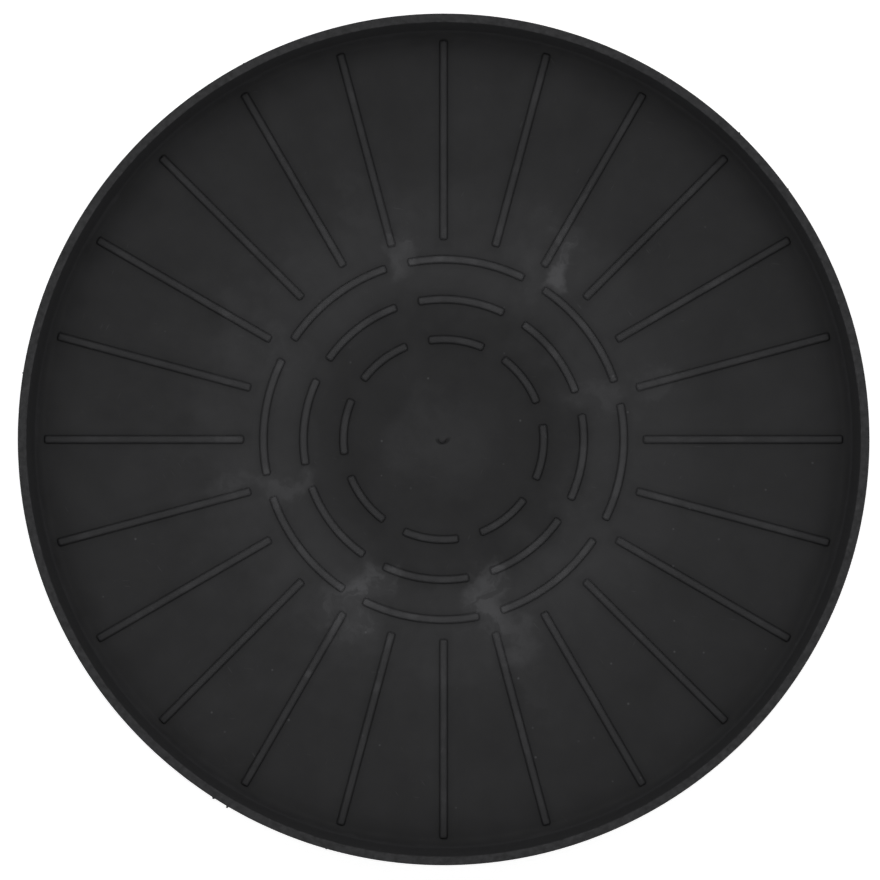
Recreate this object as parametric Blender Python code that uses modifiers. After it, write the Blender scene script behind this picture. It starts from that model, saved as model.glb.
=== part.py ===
"""Plant pot caddy: a round moulded tray, carried by five twin-wheel swivel casters.

The tray has a plain drafted wall and a flat floor. A pot stands on the floor's low ribs: an outer fan of
straight radial ribs, and three rings of short arcs in the middle, whose gaps line up with every third
radial rib. Under the floor are shallow stiffening ribs and five sockets, one for each caster.

A caster's stem is held in its socket by a split grip ring. The hood turns on the stem's lower end and is kept
there by a second split ring. Two cup-shaped wheels run on one axle that passes through the hood's web.

The origin is on the floor under the middle of the tray, +Z is up, and one caster stands on the +Y side.
"""

import math

import bmesh
import bpy
from mathutils import Matrix

MM = 0.001

# Tray: the driving dimensions.
TRAY_RADIUS = 150 * MM
LIP_WIDTH = 3.2 * MM
TRAY_DEPTH = 22 * MM
FLOOR_THICKNESS = 3 * MM
SKIRT_DEPTH = 4 * MM
WALL_DRAFT = math.radians(3)
FLOOR_FILLET = 4 * MM
LIP_CHAMFER = 0.5 * MM
TRAY_SEGMENTS = 80

# Floor pattern: everything is a multiple of one step from the middle.
PATTERN_STEP = 14.3 * MM
RADIAL_RIBS = 24
RADIAL_FROM, RADIAL_TO = 5 * PATTERN_STEP, 10 * PATTERN_STEP
RINGS = (2.5 * PATTERN_STEP, 3.5 * PATTERN_STEP, 4.5 * PATTERN_STEP)
ARCS = 8
ARC_GAP = 8.4 * MM
GAP_ANGLE = math.radians(15)
RIB_WIDTH = 2.8 * MM
RIB_HEIGHT = 1.4 * MM
RIB_CORNER = 0.7 * MM

# Casters. At rest each one trails away from the middle of the tray.
CASTERS = 5
CASTER_CIRCLE = 108 * MM
FIRST_CASTER = math.radians(90)

# One caster.
WHEEL_RADIUS = 16 * MM
WHEEL_WIDTH = 9 * MM
WHEEL_SEGMENTS = 18
TRAIL = 12 * MM
WEB_HALF = 5.5 * MM
WHEEL_GAP = 0.6 * MM
WHEEL_INNER = WEB_HALF + WHEEL_GAP
WHEEL_OUTER = WHEEL_INNER + WHEEL_WIDTH
AXLE_RADIUS = 2 * MM
AXLE_HALF = WHEEL_INNER + 7 * MM
SNAP_GROOVE_AT = WHEEL_INNER + 4.8 * MM
SNAP_HALF = 0.5 * MM
HOOD_TOP = 36.5 * MM
HOOD_BOSS_RADIUS = 6.8 * MM
FENDER_CLEARANCE = 1 * MM
FENDER_THICKNESS = 1.8 * MM
FENDER_FROM, FENDER_TO = math.radians(-8), math.radians(140)
COLLAR_HEIGHT = 0.9 * MM
SMALL_SEGMENTS = 12
RING_STEPS = 10
GAP = 0.3 * MM

# Heights above the ground, worked out from the caster upwards.
SOCKET_FACE = HOOD_TOP + COLLAR_HEIGHT + 2 * GAP
SOCKET_LENGTH = 12 * MM
FLOOR_UNDER = SOCKET_FACE + SOCKET_LENGTH
FLOOR_TOP = FLOOR_UNDER + FLOOR_THICKNESS
RIM_TOP = FLOOR_TOP + TRAY_DEPTH
SKIRT_BOTTOM = FLOOR_UNDER - SKIRT_DEPTH

# Sockets and the ribs under the floor.
SOCKET_RADIUS = 9 * MM
SOCKET_BORE = 4.25 * MM
SOCKET_DEPTH = SOCKET_LENGTH + 1 * MM
UNDER_RIB_WIDTH = 2 * MM
UNDER_RIB_RECESS = 0.6 * MM
UNDER_RIBS = 2 * CASTERS
UNDER_RINGS = (20 * MM, 75 * MM)
GUSSET_REACH = 8 * MM

# Stem, its two grooves, and the split rings in them.
SHANK_RADIUS = 3.4 * MM
PIVOT_RADIUS = 3.0 * MM
COLLAR_RADIUS = 6 * MM
GROOVE_DEPTH = 0.7 * MM
GRIP_RING_OUTER = 4.0 * MM
GRIP_RING_HEIGHT = 4 * MM
KEEPER_RING_OUTER = 3.45 * MM
KEEPER_RING_HEIGHT = 1.1 * MM
RING_PLAY = 0.2 * MM
PIVOT_BOTTOM = 20.7 * MM
PIVOT_BORE = PIVOT_RADIUS + GAP
RING_SLOT = math.radians(40)


def clear_scene():
    for obj in list(bpy.data.objects):
        bpy.data.objects.remove(obj, do_unlink=True)


def new_collection(name, parent=None):
    collection = bpy.data.collections.new(name)
    (parent or bpy.context.scene.collection).children.link(collection)
    return collection


def material(name, colour, roughness, metallic=0.0):
    made = bpy.data.materials.new(name)
    made.use_nodes = True
    shader = made.node_tree.nodes["Principled BSDF"]
    shader.inputs["Base Color"].default_value = (*colour, 1)
    shader.inputs["Roughness"].default_value = roughness
    shader.inputs["Metallic"].default_value = metallic
    return made


# Helpers that make one shape each.


def add_object(name, data, collection, parent=None, matrix=None):
    obj = bpy.data.objects.new(name, data)
    collection.objects.link(obj)
    obj.parent = parent
    obj.matrix_local = matrix or Matrix()
    return obj


def as_cutter(obj):
    obj.hide_render = True
    obj.display_type = "WIRE"
    return obj


def turned(name, profile, segments, collection, closed=False):
    """A solid turned about Z. Its (radius, height) points run down the outside; a closed one is a ring."""
    edges = [(i, i + 1) for i in range(len(profile) - 1)]
    if closed:
        edges.append((len(profile) - 1, 0))
    mesh = bpy.data.meshes.new(name)
    mesh.from_pydata([(r, 0, z) for r, z in profile], edges, [])
    obj = add_object(name, mesh, collection)
    screw = obj.modifiers.new("turn", "SCREW")
    screw.steps = screw.render_steps = segments
    screw.use_merge_vertices = True
    screw.merge_threshold = 0.01 * MM
    return obj


def cylinder(name, radius, low, high, segments, collection):
    """A cylinder on the Z axis between two heights."""
    mesh = bpy.data.meshes.new(name)
    bm = bmesh.new()
    bmesh.ops.create_cone(
        bm, cap_ends=True, segments=segments, radius1=radius, radius2=radius, depth=high - low,
        matrix=Matrix.Translation((0, 0, (low + high) / 2)),
    )
    bm.to_mesh(mesh)
    bm.free()
    return add_object(name, mesh, collection)


def plate(name, outline, low, high, collection):
    """A flat outline in XY, given thickness between two heights, as a mesh with its caps welded on."""
    curve = bpy.data.curves.new(name, "CURVE")
    curve.dimensions = "2D"
    curve.fill_mode = "BOTH"
    curve.extrude = (high - low) / 2
    spline = curve.splines.new("POLY")
    spline.points.add(len(outline) - 1)
    for point, (x, y) in zip(spline.points, outline):
        point.co = (x, y, 0, 1)
    spline.use_cyclic_u = True
    source = add_object(name + "_outline", curve, collection)
    bpy.context.view_layer.update()
    mesh = evaluated_mesh(source)
    mesh.transform(Matrix.Translation((0, 0, (low + high) / 2)))
    bpy.data.objects.remove(source)
    bm = bmesh.new()
    bm.from_mesh(mesh)
    bmesh.ops.remove_doubles(bm, verts=bm.verts, dist=0.001 * MM)
    bmesh.ops.recalc_face_normals(bm, faces=bm.faces)
    bm.to_mesh(mesh)
    bm.free()
    return add_object(name, mesh, collection)


def evaluated_mesh(obj):
    """The object's mesh with its modifiers applied."""
    graph = bpy.context.evaluated_depsgraph_get()
    return bpy.data.meshes.new_from_object(obj.evaluated_get(graph))


def boolean(obj, operation, other):
    """Joins or cuts with one object, or with every object of a collection."""
    modifier = obj.modifiers.new(operation.lower(), "BOOLEAN")
    modifier.operation = operation
    if isinstance(other, bpy.types.Collection):
        modifier.operand_type = "COLLECTION"
        modifier.collection = other
    else:
        modifier.object = other


def arc_points(radius, start, end, steps, centre=(0, 0)):
    """Points along an arc, both ends included."""
    angles = [start + (end - start) * i / steps for i in range(steps + 1)]
    return [(centre[0] + radius * math.cos(a), centre[1] + radius * math.sin(a)) for a in angles]


def turn(angle, axis="Z"):
    return Matrix.Rotation(angle, 4, axis)


def finished(name, obj, look, smooth_below=math.radians(35)):
    """The object's final mesh, with its material, shaded smooth except at real edges."""
    bpy.context.view_layer.update()
    mesh = evaluated_mesh(obj)
    mesh.name = name
    mesh.materials.clear()
    mesh.materials.append(look)
    mesh.shade_smooth()
    mesh.set_sharp_from_angle(angle=smooth_below)
    return mesh


# The tray.


def wall_radius(height, top_radius):
    """The wall leans in by its draft from the rim down."""
    return top_radius - (RIM_TOP - height) * math.tan(WALL_DRAFT)


def tray_profile():
    inner_top = TRAY_RADIUS - LIP_WIDTH
    fillet_top = FLOOR_TOP + FLOOR_FILLET
    wall_foot = wall_radius(fillet_top, inner_top)
    centre = (wall_foot - FLOOR_FILLET, fillet_top)
    fillet = arc_points(FLOOR_FILLET, -math.pi / 2, 0, 2, centre)
    inner_skirt = wall_radius(SKIRT_BOTTOM, TRAY_RADIUS) - LIP_WIDTH
    return [
        (0, FLOOR_TOP),
        *fillet,
        (inner_top, RIM_TOP - LIP_CHAMFER),
        (inner_top + LIP_CHAMFER, RIM_TOP),
        (TRAY_RADIUS - LIP_CHAMFER, RIM_TOP),
        (TRAY_RADIUS, RIM_TOP - LIP_CHAMFER),
        (wall_radius(SKIRT_BOTTOM, TRAY_RADIUS), SKIRT_BOTTOM),
        (inner_skirt, SKIRT_BOTTOM),
        (inner_skirt, FLOOR_UNDER),
        (0, FLOOR_UNDER),
    ]


def rounded_bar(start, end, width, corner):
    """The outline of a straight bar along X with its corners rounded."""
    half = width / 2
    corners = [
        (end - corner, half - corner, 0),
        (start + corner, half - corner, 1),
        (start + corner, corner - half, 2),
        (end - corner, corner - half, 3),
    ]
    outline = []
    for x, y, quarter in corners:
        first = quarter * math.pi / 2
        outline += arc_points(corner, first, first + math.pi / 2, 1, (x, y))
    return outline


def rounded_arc(radius, span, width, corner, steps=6):
    """The same bar, bent around the middle of the tray and centred on +X."""
    straight = rounded_bar(-radius * span / 2, radius * span / 2, width, corner)
    length = radius * span - 2 * corner
    outline = []
    for i, (x, y) in enumerate(straight):
        outline.append((x, y))
        nx, ny = straight[(i + 1) % len(straight)]
        if abs(nx - x) > length / 2:
            outline += [(x + (nx - x) * k / steps, y) for k in range(1, steps)]
    return [
        ((radius + y) * math.cos(x / radius), (radius + y) * -math.sin(x / radius)) for x, y in outline
    ]


def add_floor_ribs(joined):
    low, high = FLOOR_TOP - FLOOR_THICKNESS / 3, FLOOR_TOP + RIB_HEIGHT
    bar = plate("rib", rounded_bar(RADIAL_FROM, RADIAL_TO, RIB_WIDTH, RIB_CORNER), low, high, joined)
    for i in range(RADIAL_RIBS):
        placed = bar if i == 0 else add_object(f"rib_{i}", bar.data, joined)
        as_cutter(placed).matrix_local = turn(2 * math.pi * i / RADIAL_RIBS)
    for ring, radius in enumerate(RINGS):
        span = 2 * math.pi / ARCS - ARC_GAP / radius
        arc = plate(f"arc_{ring}", rounded_arc(radius, span, RIB_WIDTH, RIB_CORNER), low, high, joined)
        for i in range(ARCS):
            placed = arc if i == 0 else add_object(f"arc_{ring}_{i}", arc.data, joined)
            as_cutter(placed).matrix_local = turn(GAP_ANGLE + 2 * math.pi * (i + 0.5) / ARCS)


def add_under_ribs(joined):
    low, high = SKIRT_BOTTOM + UNDER_RIB_RECESS, FLOOR_UNDER + FLOOR_THICKNESS / 3
    half = UNDER_RIB_WIDTH / 2
    skirt = wall_radius(SKIRT_BOTTOM, TRAY_RADIUS) - LIP_WIDTH / 2
    hub = UNDER_RINGS[0]
    outline = [(hub, -half), (skirt, -half), (skirt, half), (hub, half)]
    bar = plate("under_rib", outline, low, high, joined)
    for i in range(UNDER_RIBS):
        placed = bar if i == 0 else add_object(f"under_rib_{i}", bar.data, joined)
        as_cutter(placed).matrix_local = turn(FIRST_CASTER + 2 * math.pi * i / UNDER_RIBS)
    for radius in UNDER_RINGS:
        profile = [(radius + half, high), (radius + half, low), (radius - half, low), (radius - half, high)]
        as_cutter(turned("under_ring", profile, TRAY_SEGMENTS // 2, joined, closed=True))


def gusset_outline():
    """A right triangle beside the socket, drawn in XY: X is outwards and Y is up."""
    inside = SOCKET_RADIUS - 1 * MM
    reach = SOCKET_RADIUS + GUSSET_REACH
    top = FLOOR_UNDER + FLOOR_THICKNESS / 3
    foot = SOCKET_FACE + SOCKET_LENGTH / 4
    return [(inside, foot), (SOCKET_RADIUS, foot), (reach, FLOOR_UNDER), (reach, top), (inside, top)]


def add_sockets(joined, bores):
    gusset = plate("gusset", gusset_outline(), -UNDER_RIB_WIDTH / 2, UNDER_RIB_WIDTH / 2, joined)
    gusset.data.transform(turn(math.pi / 2, "X"))
    gussets = [gusset]
    for i in range(CASTERS):
        place = socket_matrix(i)
        boss = cylinder(f"socket_{i}", SOCKET_RADIUS, SOCKET_FACE, FLOOR_UNDER + FLOOR_THICKNESS / 3, 20, joined)
        as_cutter(boss).matrix_local = place
        bore = cylinder(
            f"socket_bore_{i}", SOCKET_BORE, SOCKET_FACE - 1 * MM, SOCKET_FACE + SOCKET_DEPTH, SMALL_SEGMENTS, bores
        )
        as_cutter(bore).matrix_local = place
        for side in (1, -1):
            if i or side < 0:
                gussets.append(add_object(f"gusset_{i}_{side}", gusset.data, joined))
            as_cutter(gussets[-1]).matrix_local = place @ turn(side * math.pi / 2)


def socket_angle(i):
    return FIRST_CASTER + 2 * math.pi * i / CASTERS


def socket_matrix(i):
    """Where caster i's swivel axis is, with X pointing away from the middle of the tray."""
    return turn(socket_angle(i)) @ Matrix.Translation((CASTER_CIRCLE, 0, 0))


def make_tray(parts, helpers, look):
    joined = new_collection("tray_additions", helpers)
    bores = new_collection("tray_bores", helpers)
    add_floor_ribs(joined)
    add_under_ribs(joined)
    add_sockets(joined, bores)
    shape = as_cutter(turned("tray_body", tray_profile(), TRAY_SEGMENTS, helpers))
    boolean(shape, "UNION", joined)
    boolean(shape, "DIFFERENCE", bores)
    add_object("tray", finished("tray", shape, look), parts)


# One caster's pieces, each as a mesh that all five casters share. The swivel axis is Z at the origin, and the
# axle lies along Y, behind it.


def stem_profile():
    top = SOCKET_FACE + SOCKET_DEPTH - 2 * GAP
    groove_top = top - 3 * MM
    groove_bottom = groove_top - GRIP_RING_HEIGHT - 2 * RING_PLAY
    collar_top = SOCKET_FACE - GAP
    keeper_bottom = PIVOT_BOTTOM + 3 * MM
    keeper_top = keeper_bottom + KEEPER_RING_HEIGHT + 2 * RING_PLAY
    chamfer = 0.8 * MM
    return [
        (0, top),
        (SHANK_RADIUS - chamfer, top),
        (SHANK_RADIUS, top - chamfer),
        (SHANK_RADIUS, groove_top),
        (SHANK_RADIUS - GROOVE_DEPTH, groove_top),
        (SHANK_RADIUS - GROOVE_DEPTH, groove_bottom),
        (SHANK_RADIUS, groove_bottom),
        (SHANK_RADIUS, collar_top),
        (COLLAR_RADIUS, collar_top),
        (COLLAR_RADIUS, collar_top - COLLAR_HEIGHT),
        (PIVOT_RADIUS, collar_top - COLLAR_HEIGHT),
        (PIVOT_RADIUS, keeper_top),
        (PIVOT_RADIUS - GROOVE_DEPTH, keeper_top),
        (PIVOT_RADIUS - GROOVE_DEPTH, keeper_bottom),
        (PIVOT_RADIUS, keeper_bottom),
        (PIVOT_RADIUS, PIVOT_BOTTOM + chamfer),
        (PIVOT_RADIUS - chamfer, PIVOT_BOTTOM),
        (0, PIVOT_BOTTOM),
    ]


def split_ring(name, inner, outer, low, high, helpers):
    """A flat C-shaped ring around Z, open towards +X."""
    first, last = RING_SLOT / 2, 2 * math.pi - RING_SLOT / 2
    outline = arc_points(outer, first, last, RING_STEPS) + arc_points(inner, last, first, RING_STEPS)
    return as_cutter(plate(name, outline, low, high, helpers))


def hood_outline():
    """The hood's side view about the axle: a fan as far out as the fender, and a round lug at the axle."""
    lug = 7 * MM
    fender = WHEEL_RADIUS + FENDER_CLEARANCE + FENDER_THICKNESS
    fan = arc_points(fender, FENDER_FROM, FENDER_TO, 10)
    return fan + arc_points(lug, math.radians(170), math.radians(285), 5)


def upright(obj):
    """Stands an outline drawn in XY up in the XZ plane, at the axle."""
    obj.data.transform(Matrix.Translation((-TRAIL, 0, WHEEL_RADIUS)) @ turn(math.pi / 2, "X"))
    return as_cutter(obj)


def along_axle(obj):
    """Lays a shape made about Z along the axle."""
    obj.data.transform(Matrix.Translation((-TRAIL, 0, WHEEL_RADIUS)) @ turn(-math.pi / 2, "X"))
    return as_cutter(obj)


def pivot_bore_profile():
    """The hood's bore for the stem, with the groove that the keeper ring springs into."""
    groove_middle = PIVOT_BOTTOM + 3 * MM + KEEPER_RING_HEIGHT / 2 + RING_PLAY
    groove_half = KEEPER_RING_HEIGHT / 2 + 2 * RING_PLAY
    groove = KEEPER_RING_OUTER + GAP
    return [
        (0, HOOD_TOP + 1 * MM),
        (PIVOT_BORE, HOOD_TOP + 1 * MM),
        (PIVOT_BORE, groove_middle + groove_half),
        (groove, groove_middle + groove_half),
        (groove, groove_middle - groove_half),
        (PIVOT_BORE, groove_middle - groove_half),
        (PIVOT_BORE, PIVOT_BOTTOM - 2 * GAP),
        (0, PIVOT_BOTTOM - 2 * GAP),
    ]


def hood_mesh(helpers, look):
    outer = WHEEL_OUTER
    well_radius = WHEEL_RADIUS + FENDER_CLEARANCE
    boss_bottom = WHEEL_RADIUS + 6 * MM
    shape = upright(plate("hood_side", hood_outline(), -outer, outer, helpers))
    boolean(shape, "UNION", as_cutter(cylinder("hood_boss", HOOD_BOSS_RADIUS, boss_bottom, HOOD_TOP, 20, helpers)))
    wells = new_collection("hood_cuts", helpers)
    for side, low, high in (("left", WEB_HALF, outer + 1 * MM), ("right", -outer - 1 * MM, -WEB_HALF)):
        along_axle(cylinder(f"wheel_well_{side}", well_radius, low, high, 32, wells))
    along_axle(cylinder("axle_hole", AXLE_RADIUS + GAP / 2, -outer, outer, SMALL_SEGMENTS, wells))
    as_cutter(turned("pivot_bore", pivot_bore_profile(), SMALL_SEGMENTS, wells))
    boolean(shape, "DIFFERENCE", wells)
    return finished("caster_hood", shape, look)


def axle_profile():
    """Turned about Z, from the upper end down, with a snap groove inside each wheel."""
    groove = AXLE_RADIUS - 0.5 * MM
    half = SNAP_HALF + GAP
    upper = [
        (0, AXLE_HALF),
        (AXLE_RADIUS, AXLE_HALF),
        (AXLE_RADIUS, SNAP_GROOVE_AT + half),
        (groove, SNAP_GROOVE_AT + half),
        (groove, SNAP_GROOVE_AT - half),
        (AXLE_RADIUS, SNAP_GROOVE_AT - half),
    ]
    return upper + [(r, -z) for r, z in reversed(upper)]


def wheel_profile():
    """A cup with a hub, turned about Z: the closed face is on top, and heights are from the web's middle."""
    tread = WHEEL_RADIUS / math.cos(math.pi / WHEEL_SEGMENTS)
    shoulder = 1.2 * MM
    hub = 4.4 * MM
    rim = WHEEL_RADIUS - 2.4 * MM
    face = WHEEL_OUTER - 1.8 * MM
    return [
        (0, WHEEL_OUTER),
        (tread - shoulder, WHEEL_OUTER),
        (tread, WHEEL_OUTER - shoulder),
        (tread, WHEEL_INNER),
        (rim, WHEEL_INNER),
        (rim, face),
        (hub, face),
        (hub, WHEEL_INNER),
        (0, WHEEL_INNER),
    ]


def wheel_bore_profile():
    """The blind bore, narrower where the wheel's ridge snaps into the axle's groove."""
    bore = AXLE_RADIUS + GAP
    ridge = AXLE_RADIUS - 0.15 * MM
    return [
        (0, AXLE_HALF + GAP),
        (bore, AXLE_HALF + GAP),
        (bore, SNAP_GROOVE_AT + SNAP_HALF),
        (ridge, SNAP_GROOVE_AT + SNAP_HALF),
        (ridge, SNAP_GROOVE_AT - SNAP_HALF),
        (bore, SNAP_GROOVE_AT - SNAP_HALF),
        (bore, WHEEL_INNER - 1 * MM),
        (0, WHEEL_INNER - 1 * MM),
    ]


def wheel_mesh(helpers, look):
    """The wheel on its own axle, along +Y, turned so that one of its flats is underneath."""
    shape = as_cutter(turned("wheel_shape", wheel_profile(), WHEEL_SEGMENTS, helpers))
    bore = as_cutter(turned("wheel_bore", wheel_bore_profile(), SMALL_SEGMENTS, helpers))
    boolean(shape, "DIFFERENCE", bore)
    flat_down = turn(math.pi / 2 + math.pi / WHEEL_SEGMENTS)
    mesh = finished("wheel", shape, look)
    mesh.transform(turn(-math.pi / 2, "X") @ flat_down)
    return mesh


def caster_meshes(helpers, looks):
    stem = as_cutter(turned("stem_shape", stem_profile(), SMALL_SEGMENTS, helpers))
    axle = as_cutter(turned("axle_shape", axle_profile(), SMALL_SEGMENTS, helpers))
    axle_mesh = finished("axle", axle, looks["steel"])
    axle_mesh.transform(turn(-math.pi / 2, "X"))
    grip_top = SOCKET_FACE + SOCKET_DEPTH - 2 * GAP - 3 * MM - RING_PLAY
    grip_inner = SHANK_RADIUS - GROOVE_DEPTH + RING_PLAY
    grip = split_ring(
        "grip_ring_shape", grip_inner, GRIP_RING_OUTER, grip_top - GRIP_RING_HEIGHT, grip_top, helpers
    )
    keeper_low = PIVOT_BOTTOM + 3 * MM + RING_PLAY
    keeper_inner = PIVOT_RADIUS - GROOVE_DEPTH + RING_PLAY
    keeper = split_ring(
        "keeper_ring_shape", keeper_inner, KEEPER_RING_OUTER, keeper_low, keeper_low + KEEPER_RING_HEIGHT, helpers
    )
    return {
        "stem": finished("stem", stem, looks["steel"]),
        "grip_ring": finished("grip_ring", grip, looks["spring_steel"]),
        "keeper_ring": finished("keeper_ring", keeper, looks["spring_steel"]),
        "hood": hood_mesh(helpers, looks["caster_plastic"]),
        "axle": axle_mesh,
        "wheel": wheel_mesh(helpers, looks["wheel_plastic"]),
    }


def place_caster(i, meshes, parts):
    """Caster i: the stem and its grip ring stay with the tray, and the rest hangs from a swivel empty."""
    number = i + 1
    socket = add_object(f"socket_{number}_axis", None, parts, matrix=socket_matrix(i))
    trailing_out = turn(math.pi)
    swivel = add_object(f"swivel_{number}_axis", None, parts, socket, trailing_out)
    add_object(f"swivel_stem_{number}", meshes["stem"], parts, socket)
    add_object(f"stem_grip_ring_{number}", meshes["grip_ring"], parts, socket)
    add_object(f"stem_keeper_ring_{number}", meshes["keeper_ring"], parts, socket)
    add_object(f"caster_hood_{number}", meshes["hood"], parts, swivel)
    axle_centre = Matrix.Translation((-TRAIL, 0, WHEEL_RADIUS))
    add_object(f"axle_{number}", meshes["axle"], parts, swivel, axle_centre)
    add_object(f"wheel_left_{number}", meshes["wheel"], parts, swivel, axle_centre)
    add_object(f"wheel_right_{number}", meshes["wheel"], parts, swivel, axle_centre @ turn(math.pi))


def main():
    clear_scene()
    parts = new_collection("plant_pot_caddy")
    helpers = new_collection("helpers")
    looks = {
        "tray_plastic": material("tray_plastic", (0.022, 0.022, 0.023), 0.5),
        "caster_plastic": material("caster_plastic", (0.018, 0.018, 0.019), 0.4),
        "wheel_plastic": material("wheel_plastic", (0.026, 0.026, 0.027), 0.55),
        "steel": material("steel", (0.62, 0.62, 0.63), 0.3, 1.0),
        "spring_steel": material("spring_steel", (0.4, 0.4, 0.42), 0.35, 1.0),
    }
    make_tray(parts, helpers, looks["tray_plastic"])
    meshes = caster_meshes(helpers, looks)
    for i in range(CASTERS):
        place_caster(i, meshes, parts)


main()
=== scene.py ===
"""Looks of the plant pot caddy: a black moulded tray on five swivel casters, seen from straight above."""

import math

import bpy
from mathutils import Matrix, Vector


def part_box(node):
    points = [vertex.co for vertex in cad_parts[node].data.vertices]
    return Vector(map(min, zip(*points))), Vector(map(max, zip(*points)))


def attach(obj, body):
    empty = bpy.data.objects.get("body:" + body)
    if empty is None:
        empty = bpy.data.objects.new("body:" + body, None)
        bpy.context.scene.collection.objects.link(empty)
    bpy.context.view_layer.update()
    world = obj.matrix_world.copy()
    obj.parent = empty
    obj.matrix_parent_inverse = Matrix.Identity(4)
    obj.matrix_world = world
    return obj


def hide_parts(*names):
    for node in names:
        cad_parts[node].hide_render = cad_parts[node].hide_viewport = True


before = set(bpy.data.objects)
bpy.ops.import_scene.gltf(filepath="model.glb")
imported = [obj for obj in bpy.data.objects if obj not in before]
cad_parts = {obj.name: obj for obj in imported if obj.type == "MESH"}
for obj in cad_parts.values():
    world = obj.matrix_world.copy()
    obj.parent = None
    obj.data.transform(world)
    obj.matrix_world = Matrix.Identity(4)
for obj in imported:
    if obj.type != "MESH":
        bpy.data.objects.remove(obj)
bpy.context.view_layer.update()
MM = 0.001

# The CAD model's sizes, in millimetres.
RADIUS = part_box("tray")[1][0] / MM
RIM_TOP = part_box("tray")[1][2] / MM
FLOOR_TOP = RIM_TOP - 22
FLOOR_UNDER = FLOOR_TOP - 3
SKIRT_BOTTOM = FLOOR_UNDER - 4
SOCKET_FACE = FLOOR_UNDER - 12
LIP = 3.2
DRAFT = math.tan(math.radians(3))
FLOOR_FILLET = 4
STEP = 14.3
SPOKES = 24
SPOKE_FROM, SPOKE_TO = 5 * STEP, 10 * STEP
RINGS = (2.5 * STEP, 3.5 * STEP, 4.5 * STEP)
ARCS = 8
ARC_GAP = 8.4
GAP_ANGLE = 15
RIB_WIDTH, RIB_HEIGHT = 3.0, 1.4
CASTERS = 5
CASTER_CIRCLE = 108
WHEEL_RADIUS = 16
TRAIL = 12
WEB_HALF = 5.5
WHEEL_INNER, WHEEL_OUTER = 6.1, 15.1
HOOD_TOP = 36.5
HOOD_RADIUS = 18.8
HOOD_FROM, HOOD_TO = -8, 140
WELL_RADIUS = 17
SOCKET_BORE = 4.25
PIVOT_BORE = 3.3
PIVOT_BOTTOM = 20.7
KEEPER_GROOVE = 3.75
KEEPER_GROOVE_LOW, KEEPER_GROOVE_HIGH = 23.5, 25.4

# Where the melt came in: the broken-off stub is just off the middle of the floor.
GATE = (-0.4, 0.8, 0)

# The stage, in metres.
CAMERA_HEIGHT = 1.5
HALF_PICTURE = 0.1549
CAMERA_OFFSET = (-0.00127, -0.00021)
LIGHTS = 6
LIGHT_DISTANCE, LIGHT_HEIGHT, LIGHT_SIZE = 1.05, 1.9, 1.2
LIGHT_POWER, LIGHT_POWER_CHANGE = 6, 2.3
STAGE_HALF = 10


# Shapes. Everything is made in millimetres and becomes metres in the mesh.


def arc(centre, radius, start, end, steps):
    """Points on an arc, given in degrees, both ends included."""
    turns = [math.radians(start + (end - start) * i / steps) for i in range(steps + 1)]
    return [(centre[0] + radius * math.cos(a), centre[1] + radius * math.sin(a)) for a in turns]


def lathe(profile, segments, closed=False, matrix=None):
    """Vertices and faces of a profile of (radius, height) turned about Z. It runs down the outside."""
    matrix = matrix or Matrix()
    verts, rings, faces = [], [], []
    for radius, height in profile:
        if radius < 1e-6:
            rings.append([len(verts)] * segments)
            verts.append(matrix @ Vector((0, 0, height)))
            continue
        first = len(verts)
        for i in range(segments):
            a = 2 * math.pi * i / segments
            verts.append(matrix @ Vector((radius * math.cos(a), radius * math.sin(a), height)))
        rings.append(list(range(first, first + segments)))
    pairs = list(zip(rings, rings[1:]))
    if closed:
        pairs.append((rings[-1], rings[0]))
    for upper, lower in pairs:
        for i in range(segments):
            j = (i + 1) % segments
            face = []
            for index in (upper[i], lower[i], lower[j], upper[j]):
                if index not in face:
                    face.append(index)
            faces.append(face)
    return verts, faces


def stack(outlines, matrix=None):
    """A solid through outlines of equal length, each [(x, y)] with its height. The lowest comes first."""
    matrix = matrix or Matrix()
    verts, faces = [], []
    count = len(outlines[0][0])
    for outline, height in outlines:
        verts += [matrix @ Vector((x, y, height)) for x, y in outline]
    for ring in range(len(outlines) - 1):
        for i in range(count):
            j = (i + 1) % count
            a, b = ring * count, (ring + 1) * count
            faces.append((a + i, a + j, b + j, b + i))
    faces.append(tuple(range(count))[::-1])
    faces.append(tuple(range(len(verts) - count, len(verts))))
    return verts, faces


def bar(start, end, half, corner):
    """The outline of a straight bar along X with rounded corners, anticlockwise."""
    corner = min(corner, half * 0.98)
    outline = []
    for cx, cy, first in (
        (end - corner, half - corner, 0),
        (start + corner, half - corner, 90),
        (start + corner, corner - half, 180),
        (end - corner, corner - half, 270),
    ):
        outline += arc((cx, cy), corner, first, first + 90, 4)
    return outline


def bent_bar(radius, length, half, corner):
    """The same bar, bent about the origin and centred on +X."""
    flat = bar(-length / 2, length / 2, half, corner)
    outline = []
    for i, (x, y) in enumerate(flat):
        next_x = flat[(i + 1) % len(flat)][0]
        pieces = 20 if abs(next_x - x) > length / 2 else 1
        outline += [(x + (next_x - x) * k / pieces, y) for k in range(pieces)]
    return [((radius - y) * math.cos(x / radius), (radius - y) * math.sin(x / radius)) for x, y in outline]


def rib_sections(outline, width, height, foot=0.2, draft=0.06, shoulder=0.95):
    """A moulded rib's outlines by height: a small fillet at its foot, drafted sides and rounded shoulders."""
    half = width / 2
    sections = [(outline(half + foot), -0.05)]
    for i in range(1, 4):
        a = math.radians(30 * i)
        sections.append((outline(half + foot * (1 - math.sin(a))), foot * (1 - math.cos(a))))
    rise = min(shoulder * 1.2, height - foot - 0.05)
    for i in range(7):
        a = math.radians(15 * i)
        inset = draft + shoulder * (1 - math.cos(a))
        sections.append((outline(half - inset), height - rise * (1 - math.sin(a))))
    return sections


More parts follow.
